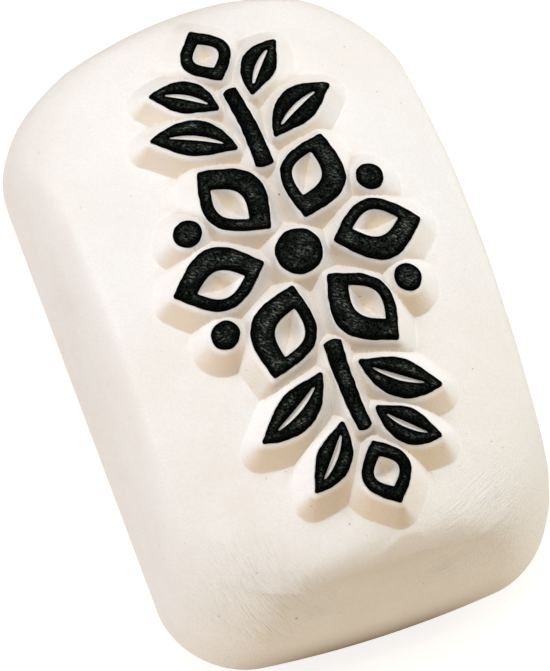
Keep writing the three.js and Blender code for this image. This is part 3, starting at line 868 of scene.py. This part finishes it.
# %% Make the pads
def make_pad(item):
    """Lifts the profile's rows on to the land and closes them into a skin. Points that fall
    together at a tip or on a spine are merged, and a skin that came out inside out is turned."""
    rows, rims = [], []
    outer = item["core"] + item["normals"] * (EDGE_ROUND - BARE_RIM)
    for plan_row, level in pad_surface(item):
        inwards = np.linalg.norm(plan_row - outer, axis=1)
        if item["pit"]:
            inwards = np.minimum(inwards, np.linalg.norm(plan_row - item["within"], axis=1))
        rims.append(1 - smooth(0.15, 0.8, inwards))
        px, py = plan_row.T
        lift = level + (PAD_WAVE * waviness(px * 0.8, py * 0.8) if level > 0 else 0)
        rows.append(np.column_stack([plan_row, crown(px, py) + RELIEF + lift]))
    points, n = np.concatenate(rows), len(rows[0])
    index = np.arange(len(points)).reshape(-1, n)
    nxt = np.roll(index, -1, 1)
    below, above = index, np.roll(index, -1, 0)
    faces = np.stack([below, nxt, np.roll(nxt, -1, 0), above], -1)
    faces = (faces if item["pit"] else np.delete(faces, -2, 0)).reshape(-1, 4)
    pad = new_piece(item["name"] + "_flock", points, [faces], "flock",
                    {"rim": np.concatenate(rims)})
    work = bmesh.new()
    work.from_mesh(pad.data)
    bmesh.ops.remove_doubles(work, verts=work.verts, dist=2e-7)
    bmesh.ops.dissolve_degenerate(work, edges=work.edges, dist=1e-7)
    if work.calc_volume(signed=True) < 0:
        bmesh.ops.reverse_faces(work, faces=work.faces)
    opened = sum(not e.is_manifold for e in work.edges)
    work.to_mesh(pad.data)
    work.free()
    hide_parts("pad_" + item["name"])
    return pad, opened


pads = [make_pad(item) for item in LANDS]
print(len(pads), "pads, open edges:", sum(opened for _, opened in pads))

# %% [markdown]
# ## Finishes
#
# A finish is a tree of shader nodes. It could be put together by hand in the shader
# editor, but short helpers show better what feeds what. The pieces sit at the
# origin, so their Object coordinates are places on the real thing, and times a
# thousand they are millimetres: every pattern below is given in millimetres.

# %% Helpers for shader nodes
def srgb(*values):
    """A colour as written on a screen, 0 to 255, in the linear values that the shader takes."""
    linear = [((v / 255 + 0.055) / 1.055) ** 2.4 if v > 10 else v / 255 / 12.92 for v in values]
    return (*linear, 1.0)


def feed(tree, made, inputs):
    """Gives a node its inputs, by name or number. Each is a value or another node's socket."""
    for key, value in (inputs or {}).items():
        if isinstance(value, bpy.types.NodeSocket):
            tree.links.new(value, made.inputs[key])
        else:
            made.inputs[key].default_value = value
    return made


def node(tree, kind, inputs=None, **settings):
    """Adds a node with its settings and inputs."""
    made = tree.nodes.new("ShaderNode" + kind)
    for name, value in settings.items():
        setattr(made, name, value)
    return feed(tree, made, inputs)


def sums(tree, operation, a, b):
    """One step of arithmetic between two values."""
    return node(tree, "Math", {0: a, 1: b}, operation=operation).outputs[0]


def times(tree, first, *others):
    """Values multiplied one after another."""
    for other in others:
        first = sums(tree, "MULTIPLY", first, other)
    return first


def between(tree, value, low, high, to_low=0.0, to_high=1.0):
    """Carries a value from one range to another, and stops at its ends."""
    inputs = {"Value": value, "From Min": low, "From Max": high, "To Min": to_low,
              "To Max": to_high}
    return node(tree, "MapRange", inputs, interpolation_type="SMOOTHSTEP").outputs["Result"]


def blend(tree, factor, a, b):
    """Mixes two colours: a at factor 0, b at factor 1."""
    return node(tree, "Mix", {0: factor, 6: a, 7: b}, data_type="RGBA").outputs[2]


def noise(tree, vector, scale, detail=2.0, rough=0.5):
    """A cloudy value, mostly from 0.3 to 0.7, with scale clouds to the millimetre."""
    inputs = {"Vector": vector, "Scale": scale, "Detail": detail, "Roughness": rough}
    return node(tree, "TexNoise", inputs).outputs["Fac"]


print("a white of 243, 238, 229 is", [round(v, 3) for v in srgb(243, 238, 229)[:3]],
      "in linear values")

# %% [markdown]
# An effect that both finishes use goes into a node group, which is built once and
# placed where it is needed. A material starts from the standard shader.

# %% Helpers for groups and materials
def new_group(name, inputs, outputs):
    """A shader node group with named sockets. Inputs map a name to its kind and first value."""
    tree = bpy.data.node_groups.new(name, "ShaderNodeTree")
    for title, (kind, value) in inputs.items():
        socket = tree.interface.new_socket(title, in_out="INPUT", socket_type="NodeSocket" + kind)
        socket.default_value = value
    for title in outputs:
        tree.interface.new_socket(title, in_out="OUTPUT", socket_type="NodeSocketFloat")
    return tree, tree.nodes.new("NodeGroupInput").outputs, tree.nodes.new("NodeGroupOutput").inputs


def use(tree, group, inputs):
    """Places a group in a material or in another group."""
    return node(tree, "Group", inputs, node_tree=group).outputs


def new_material(name, colour, roughness):
    """A material, its tree, its shader and the place on the piece in millimetres."""
    material = bpy.data.materials.new(name)
    material.use_nodes = True
    tree = material.node_tree
    shader = tree.nodes["Principled BSDF"]
    shader.inputs["Base Color"].default_value = colour
    shader.inputs["Roughness"].default_value = roughness
    metres = node(tree, "TexCoord").outputs["Object"]
    place = node(tree, "VectorMath", {0: metres, "Scale": 1 / MM}, operation="SCALE")
    return material, tree, shader, place.outputs["Vector"]


def mark(tree, name):
    """A value that the mesh carries on its points."""
    return node(tree, "Attribute", attribute_name=name).outputs["Fac"]


print("marks to read:",
      ", ".join(layer.name for layer in stone.data.attributes if layer.name in marks))

# %% [markdown]
# Both finishes have small round spots: pores and rust specks in the ceramic, lint
# on the flock. A Voronoi texture gives one random point to each cell of space, and
# a spot is where that point is near. Only a share of the cells gets one.

# %% Spots
spots, given, result = new_group(
    "spots", {"Vector": ("Vector", (0, 0, 0)), "Spacing": ("Float", 3.0), "Radius": ("Float", 0.1),
              "Share": ("Float", 0.3)}, ["Mask"])
per_mm = sums(spots, "DIVIDE", 1.0, given["Spacing"])
cells = node(spots, "TexVoronoi", {"Vector": given["Vector"], "Scale": per_mm})
chance = node(spots, "SeparateColor", {0: cells.outputs["Color"]}).outputs
in_cells = times(spots, given["Radius"], per_mm)
size = times(spots, sums(spots, "ADD", chance[1], 0.4), in_cells)
inside = between(spots, sums(spots, "DIVIDE", cells.outputs["Distance"], size), 1.0, 0.45)
picked = sums(spots, "LESS_THAN", chance[0], given["Share"])
spots.links.new(times(spots, inside, picked), result["Mask"])
print("spots:", len(spots.nodes), "nodes")

# %% [markdown]
# Rubbing leaves fine parallel lines, and the pile of the flock lies in short
# streaks. Both are a cloudy noise that is squeezed across one direction: the place
# is split into its parts across and along, and the part across is scaled up.

# %% Streaks
streaks, given, result = new_group(
    "streaks", {"Vector": ("Vector", (0, 0, 0)), "Across": ("Vector", (1, 0, 0)),
                "Fineness": ("Float", 5.0), "Stretch": ("Float", 14.0)}, ["Lines"])
part = node(streaks, "VectorMath", {0: given["Vector"], 1: given["Across"]},
            operation="DOT_PRODUCT")
more = times(streaks, part.outputs["Value"], sums(streaks, "SUBTRACT", given["Stretch"], 1.0))
shift = node(streaks, "VectorMath", {0: given["Across"], "Scale": more}, operation="SCALE")
squeezed = node(streaks, "VectorMath", {0: given["Vector"], 1: shift.outputs["Vector"]},
                operation="ADD").outputs["Vector"]
pitch = sums(streaks, "DIVIDE", given["Fineness"], given["Stretch"])
streaks.links.new(noise(streaks, squeezed, pitch, 1.0), result["Lines"])
print("streaks:", len(streaks.nodes), "nodes")

# %% [markdown]
# ### Bisque
#
# The ceramic is fired and unglazed: matt, a slightly warm white, with a fine grain,
# pale clouds, pores and a few rust specks. Painted shade lies where the marks on
# the points say, and the front corners and the left wall show fine lines from
# rubbing. It could be a painted picture, but patterns in millimetres stay sharp
# from near and far. Colour and height come from the same masks, so that a pore is
# both dark and deep.

# %% The bisque material
bisque, tree, shader, place = new_material("bisque", srgb(243, 239, 233), 0.86)
clouds = between(tree, noise(tree, place, 0.11, 3.0), 0.35, 0.7)
grain = noise(tree, place, 4.2, 3.0, 0.65)
pores = use(tree, spots, {"Vector": place, "Spacing": 1.5, "Radius": 0.1, "Share": 0.6})["Mask"]
rust = use(tree, spots, {"Vector": place, "Spacing": 3.5, "Radius": 0.15, "Share": 0.35})["Mask"]
uneven = between(tree, noise(tree, place, 0.5, 2.0), 0.25, 0.65, 0.35)
recess = times(tree, mark(tree, "recess"), uneven)
# the bare ceramic: pale clouds and a fine grain
colour = blend(tree, clouds, srgb(245, 242, 238), srgb(243, 238, 232))
colour = blend(tree, between(tree, grain, 0.35, 0.65, 0.0, 0.3), colour, srgb(232, 225, 215))
# painted shade in the valleys and pits, and on the pits' walls that face the front
colour = blend(tree, times(tree, recess, 0.5), colour, srgb(218, 202, 180))
colour = blend(tree, mark(tree, "front pit shade"), colour, srgb(247, 232, 209))
# painted shade on the outer walls that face the front, from a little below the edge to the foot
to_foot = between(tree, mark(tree, "wall rise"), -0.02, 0.14)
from_edge = between(tree, mark(tree, "wall edge"), 0.05, 0.45)
shaded_front_wall = times(tree, mark(tree, "front wall shade"), to_foot, from_edge)
colour = blend(tree, shaded_front_wall, colour, srgb(229, 212, 190))
# painted shade at the front foot and crease, then pores and rust specks, lie over all of that
colour = blend(tree, mark(tree, "front foot shade"), colour, srgb(150, 132, 110))
colour = blend(tree, times(tree, pores, 0.6), colour, srgb(176, 156, 130))
colour = blend(tree, times(tree, rust, 0.75), colour, srgb(150, 104, 62))
tree.links.new(colour, shader.inputs["Base Color"])
print("bisque colour:", len(tree.nodes), "nodes")

# %% [markdown]
# The rubbing lines lie in three zones. Each has the direction across its lines, its
# middle, how far it reaches and how deep its lines are. They and the grain make one
# height, and a Bump node turns that into the lean of the surface.

# %% The bisque's relief
stroke_zones = {
    "right": ((-0.22, 0.79, 0.57), (10, -30, 19), 12.0, 0.2),
    "left": ((0.83, -0.07, 0.55), (-13, -29, 18), 12.0, 0.17),
    "wall": ((0.1, 0.5, 0.86), (-21, 4, 12), 16.0, 0.15),
}
# the grain is coarser low on the walls and in the relief, where nobody rubbed it
above = node(tree, "SeparateXYZ", {0: place}).outputs["Z"]
coarse = between(tree, above, 26.0, 12.0, 0.08, 0.15)
sheltered = sums(tree, "MAXIMUM", mark(tree, "recess"), shaded_front_wall)
coarse = sums(tree, "MAXIMUM", coarse, between(tree, sheltered, 0.0, 0.5, 0.0, 0.12))
height = times(tree, sums(tree, "SUBTRACT", grain, 0.5), coarse)
for across, middle, reach, depth in stroke_zones.values():
    lines = use(tree, streaks, {"Vector": place, "Across": across, "Fineness": 6.5,
                                "Stretch": 16.0})["Lines"]
    away = node(tree, "VectorMath", {0: place, 1: middle}, operation="DISTANCE").outputs["Value"]
    zone = between(tree, away, reach, reach * 0.3)
    line = times(tree, sums(tree, "SUBTRACT", lines, 0.5), zone, depth)
    height = sums(tree, "ADD", height, line)
height = sums(tree, "SUBTRACT", height, times(tree, pores, 0.05))
bump = node(tree, "Bump", {"Height": height, "Distance": MM, "Strength": 1.0})
tree.links.new(bump.outputs["Normal"], shader.inputs["Normal"])
tree.links.new(between(tree, grain, 0.3, 0.7, 0.8, 0.92), shader.inputs["Roughness"])
shader.inputs["Specular IOR Level"].default_value = 0.3
stone.data.materials.append(bisque)
print("bisque with its relief:", len(tree.nodes), "nodes")

# %% [markdown]
# ### Flock
#
# Flock is a dense pile of short fibres. It drinks nearly all light, and a little
# comes back as grey mottles and short flecks where fibres lie over. At the rim of a
# pad the fibres lean outwards and look blacker. Real strands would be far too many
# at this size, so the pile is a pattern of colour with a fine bump.

# %% The flock material
flock, tree, shader, place = new_material("flock", srgb(26, 26, 26), 0.95)
clouds = between(tree, noise(tree, place, 0.55, 2.0, 0.6), 0.35, 0.75)
fibres = noise(tree, place, 5.0, 2.0, 0.7)
lying = use(tree, streaks, {"Vector": place, "Across": (0.6, 0.8, 0), "Fineness": 6.0,
                            "Stretch": 2.4})["Lines"]
flecks = between(tree, lying, 0.52, 0.7)
lint = use(tree, spots, {"Vector": place, "Spacing": 1.1, "Radius": 0.09, "Share": 0.25})["Mask"]
inner = sums(tree, "SUBTRACT", 1.0, mark(tree, "rim"))
pile = times(tree, inner, clouds)
# dark pile with grey mottles, then flecks, lint and the blacker rim
colour = blend(tree, between(tree, fibres, 0.4, 0.66), srgb(0, 1, 0), srgb(32, 37, 33))
mottle = times(tree, pile, between(tree, fibres, 0.4, 0.6), 0.5)
colour = blend(tree, mottle, colour, srgb(66, 72, 68))
lit = times(tree, flecks, pile, 0.9)
colour = blend(tree, lit, colour, srgb(120, 124, 116))
fluff = times(tree, lint, inner, 0.5)
colour = blend(tree, fluff, colour, srgb(120, 112, 104))
colour = blend(tree, times(tree, mark(tree, "rim"), 0.75), colour, srgb(4, 4, 4))
tree.links.new(colour, shader.inputs["Base Color"])
height = times(tree, fibres, 0.16)
bump = node(tree, "Bump", {"Height": height, "Distance": MM, "Strength": 1.0})
tree.links.new(bump.outputs["Normal"], shader.inputs["Normal"])
shader.inputs["Specular IOR Level"].default_value = 0.0
for pad, _ in pads:
    pad.data.materials.append(flock)
print("flock:", len(tree.nodes), "nodes")

# %% [markdown]
# ## Camera, light and floor
#
# The stone was photographed from above its front left corner, from so far that its
# edges hardly run together. A very long lens gives the same. The camera's direction,
# its roll and the scale come from fitting the block's outline, and the aim is the
# point that lies in the middle of the frame.

# %% Camera
FRAME_HEIGHT, PIXELS_PER_MM, ROLL, AIM = 671, 9.61, 0.361, (3.8, 22.7)
BACK = Vector((-0.18, -0.27, 0.9459)).normalized()
plain_up = (Vector((0, 1, 0)) - BACK * BACK.y).normalized()
plain_right = plain_up.cross(BACK)
right = plain_right * math.cos(ROLL) - plain_up * math.sin(ROLL)
up = plain_right * math.sin(ROLL) + plain_up * math.cos(ROLL)
aim = (right * AIM[0] + up * AIM[1]) / PIXELS_PER_MM * MM
camera = bpy.data.objects.new("camera", bpy.data.cameras.new("camera"))
camera.data.sensor_width = 36
camera.data.lens = 1000
distance = FRAME_HEIGHT / PIXELS_PER_MM * MM * camera.data.lens / camera.data.sensor_width
turned = Matrix((right, up, BACK)).transposed().to_4x4()
camera.matrix_world = Matrix.Translation(aim + BACK * distance) @ turned
camera.data.clip_start, camera.data.clip_end = 0.1, 10
bpy.context.scene.collection.objects.link(camera)
bpy.context.scene.camera = camera
print("camera", round(distance, 3), "m away")

# %% [markdown]
# The photograph has soft light: one high lamp from behind, and low ones from both
# sides and from the front that round the block and fill its pits. Each is broad, so
# no shadow has a hard edge. The room adds a little warm light from everywhere, and
# shows white to the camera alone.

# %% Light
LAMP_DISTANCE, LOW, HIGH = 0.6, (0.5, 0.16), (0.4, 0.4)


def soft_lamp(name, turn, tilt, size, power, colour):
    """A rectangular lamp that faces the stone, at turn degrees from +X and tilt degrees above
    the floor."""
    lamp = bpy.data.objects.new(name, bpy.data.lights.new(name, "AREA"))
    lamp.data.shape, (lamp.data.size, lamp.data.size_y) = "RECTANGLE", size
    lamp.data.energy, lamp.data.color = power, colour
    turn, tilt = math.radians(turn), math.radians(tilt)
    way = Vector((math.cos(turn) * math.cos(tilt), math.sin(turn) * math.cos(tilt), math.sin(tilt)))
    facing = way.to_track_quat("Z", "Y").to_matrix().to_4x4()
    lamp.matrix_world = Matrix.Translation(way * LAMP_DISTANCE) @ facing
    bpy.context.scene.collection.objects.link(lamp)


soft_lamp("high lamp", 90, 70, HIGH, 2.98, (0.99, 1.0, 1.02))
soft_lamp("left lamp", 180, 9, LOW, 2.0, (0.94, 0.98, 1.08))
soft_lamp("right lamp", 0, 9, LOW, 1.85, (0.94, 1.01, 1.05))
soft_lamp("front lamp", 270, 9, LOW, 1.0, (1.2, 1.03, 0.77))
world = bpy.data.worlds.new("room")
bpy.context.scene.world = world
world.use_nodes = True
tree = world.node_tree
around = tree.nodes["Background"]
around.inputs["Color"].default_value = (1.0, 0.8, 0.56, 1.0)
around.inputs["Strength"].default_value = 0.1
white = node(tree, "Background", {"Color": (1, 1, 1, 1), "Strength": 1.0})
seen = node(tree, "LightPath")
choice = node(tree, "MixShader", {0: seen.outputs["Is Camera Ray"], 1: around.outputs[0],
                                 2: white.outputs[0]})
tree.links.new(choice.outputs[0], tree.nodes["World Output"].inputs["Surface"])

# %% [markdown]
# The floor is a wide sheet of pale paper that catches the stone's shadow. Lit by
# these lamps alone it would look grey. So it glows a little, but only to the camera
# and to mirrors, which lights nothing else.

# %% Floor
FLOOR_HALF = 1500.0
floor_corners = np.array([[-1, -1, 0], [1, -1, 0], [1, 1, 0], [-1, 1, 0]]) * FLOOR_HALF
floor = new_piece("floor", floor_corners, [np.array([[0, 1, 2, 3]])])
paper, tree, shader, place = new_material("paper", srgb(206, 190, 168), 0.9)
floor.data.materials.append(paper)
seen = node(tree, "LightPath")
shader.inputs["Emission Color"].default_value = (0.94, 0.97, 1.0, 1.0)
direct = sums(tree, "MAXIMUM", seen.outputs["Is Camera Ray"], seen.outputs["Is Glossy Ray"])
tree.links.new(times(tree, direct, 0.8), shader.inputs["Emission Strength"])
print("floor:", round(2 * FLOOR_HALF * MM, 1), "m wide")

# %% [markdown]
# ## Finish
#
# The Standard view shows a colour about as it is written.

# %% View transform
bpy.context.scene.view_settings.view_transform = "Standard"
